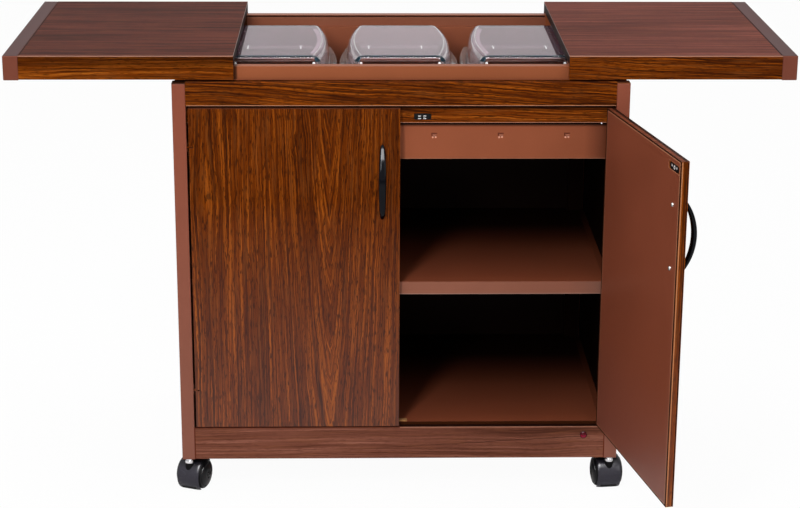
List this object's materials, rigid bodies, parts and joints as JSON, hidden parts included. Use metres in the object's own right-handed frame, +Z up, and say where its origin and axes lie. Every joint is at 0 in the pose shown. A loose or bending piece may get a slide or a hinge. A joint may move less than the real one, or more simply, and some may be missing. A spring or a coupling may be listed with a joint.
{
  "type": "food warmer trolley",
  "caption": "Wood-grain cupboard on castors with a heated tub of lidded glass dishes in its top, uncovered by sliding leaves, and hinged doors below.",
  "frame": {"origin": "on the floor under the middle of the bounding box, with both leaves out and the right door standing open as pictured", "axes": "+X along the width to the user's right when facing the doors, +Y from the doors to the back, +Z up from the floor"},
  "size_m": [1.234, 0.7798, 0.7346],
  "materials": {
    "painted_steel": "satin brown paint",
    "brown_sheet": "satin brown paint",
    "brown_rail": "satin brown paint",
    "wood_board": "dark wood grain laminate, satin",
    "wood_door": "dark wood grain laminate, satin",
    "wood_leaf": "dark wood grain laminate, satin",
    "leaf_trim": "dark wood grain edging, satin",
    "black_plastic": "moulded, satin",
    "handle_black": "gloss black",
    "wheel_plastic": "moulded, satin",
    "felt": "felt pad",
    "red_lens": "translucent red",
    "lead_sleeve": "silicone sleeve",
    "plated_steel": "zinc plated",
    "mineral_wool": "mineral wool board",
    "element_steel": "sheathed rod",
    "clear_glass": "clear glass"
  },
  "bodies": {
    "cabinet": {"front_posts": "painted_steel", "back_posts": "painted_steel", "post_plugs": "black_plastic", "side_panel_left": "wood_board", "side_panel_right": "wood_board", "back_panel": "brown_sheet", "fascia": "wood_board", "cross_rail": "wood_board", "plinth": "wood_board", "floor_tray": "brown_sheet", "shelf": "brown_sheet", "tray_rails": "brown_sheet", "frame_rails": "painted_steel", "catches": "black_plastic", "door_buffer": "felt", "indicator_lamp": "red_lens", "wiring_duct": "brown_sheet", "wiring": "lead_sleeve", "cable_gland": "black_plastic", "cabinet_screws": "plated_steel", "hinge_lugs": "plated_steel", "castor_sockets": "black_plastic", "castor_stems": "plated_steel", "tub_liner": "brown_sheet", "tub_casing": "brown_sheet", "insulation": "mineral_wool", "heating_element": "element_steel", "thermostat": "black_plastic", "guide_rail_front": "brown_rail", "guide_rail_back": "brown_rail", "dish_left": "clear_glass", "lid_left": "clear_glass", "dish_right": "clear_glass", "lid_right": "clear_glass"},
    "left_leaf": {"leaf_left_board": "wood_leaf", "leaf_left_skirts": "wood_board", "leaf_left_trim": "leaf_trim", "leaf_left_runners": "brown_rail"},
    "right_leaf": {"leaf_right_board": "wood_leaf", "leaf_right_skirts": "wood_board", "leaf_right_trim": "leaf_trim", "leaf_right_runners": "brown_rail"},
    "left_door": {"door_left_panel": "wood_door", "door_left_handle": "handle_black", "door_left_screws": "plated_steel", "door_left_striker": "handle_black"},
    "right_door": {"door_right_panel": "wood_door", "door_right_handle": "handle_black", "door_right_screws": "plated_steel", "door_right_striker": "handle_black"},
    "middle_dish": {"dish_middle": "clear_glass"},
    "middle_lid": {"lid_middle": "clear_glass"},
    "front_left_castor": {"castor_hood_1": "black_plastic"},
    "front_left_wheels": {"castor_wheels_1": "wheel_plastic"},
    "front_right_castor": {"castor_hood_2": "black_plastic"},
    "front_right_wheels": {"castor_wheels_2": "wheel_plastic"},
    "back_left_castor": {"castor_hood_3": "black_plastic"},
    "back_left_wheels": {"castor_wheels_3": "wheel_plastic"},
    "back_right_castor": {"castor_hood_4": "black_plastic"},
    "back_right_wheels": {"castor_wheels_4": "wheel_plastic"}
  },
  "joints": [
    {"name": "left_leaf_slide", "type": "slide", "parent": "cabinet", "child": "left_leaf", "axis": [-1, 0, 0], "range_m": [-0.2605, 0]},
    {"name": "right_leaf_slide", "type": "slide", "parent": "cabinet", "child": "right_leaf", "axis": [1, 0, 0], "range_m": [-0.2605, 0]},
    {"name": "left_door_hinge", "type": "hinge", "parent": "cabinet", "child": "left_door", "pos_m": [-0.331, -0.06584, 0.3835], "axis": [0, 0, -1], "range_deg": [0, 108]},
    {"name": "right_door_hinge", "type": "hinge", "parent": "cabinet", "child": "right_door", "pos_m": [0.331, -0.06584, 0.3835], "axis": [0, 0, 1], "range_deg": [-101.8, 6.2]},
    {"name": "front_left_swivel", "type": "hinge", "parent": "cabinet", "child": "front_left_castor", "pos_m": [-0.347, -0.05894, 0.045], "axis": [0, 0, 1], "continuous": true},
    {"name": "front_left_roll", "type": "hinge", "parent": "front_left_castor", "child": "front_left_wheels", "pos_m": [-0.34044, -0.04272, 0.025], "axis": [0.9272, -0.3746, 0], "continuous": true},
    {"name": "front_right_swivel", "type": "hinge", "parent": "cabinet", "child": "front_right_castor", "pos_m": [0.347, -0.05894, 0.045], "axis": [0, 0, 1], "continuous": true},
    {"name": "front_right_roll", "type": "hinge", "parent": "front_right_castor", "child": "front_right_wheels", "pos_m": [0.34517, -0.04154, 0.025], "axis": [0.9945, 0.1045, 0], "continuous": true},
    {"name": "back_left_swivel", "type": "hinge", "parent": "cabinet", "child": "back_left_castor", "pos_m": [-0.347, 0.37406, 0.045], "axis": [0, 0, 1], "continuous": true},
    {"name": "back_left_roll", "type": "hinge", "parent": "back_left_castor", "child": "back_left_wheels", "pos_m": [-0.35064, 0.35694, 0.025], "axis": [-0.9781, 0.2079, 0], "continuous": true},
    {"name": "back_right_swivel", "type": "hinge", "parent": "cabinet", "child": "back_right_castor", "pos_m": [0.347, 0.37406, 0.045], "axis": [0, 0, 1], "continuous": true},
    {"name": "back_right_roll", "type": "hinge", "parent": "back_right_castor", "child": "back_right_wheels", "pos_m": [0.35212, 0.35732, 0.025], "axis": [-0.9563, -0.2924, 0], "continuous": true},
    {"name": "middle_dish_lift", "type": "slide", "parent": "cabinet", "child": "middle_dish", "axis": [0, 0, 1], "range_m": [0, 0.13]},
    {"name": "middle_lid_lift", "type": "slide", "parent": "middle_dish", "child": "middle_lid", "axis": [0, 0, 1], "range_m": [0, 0.07]}
  ]
}
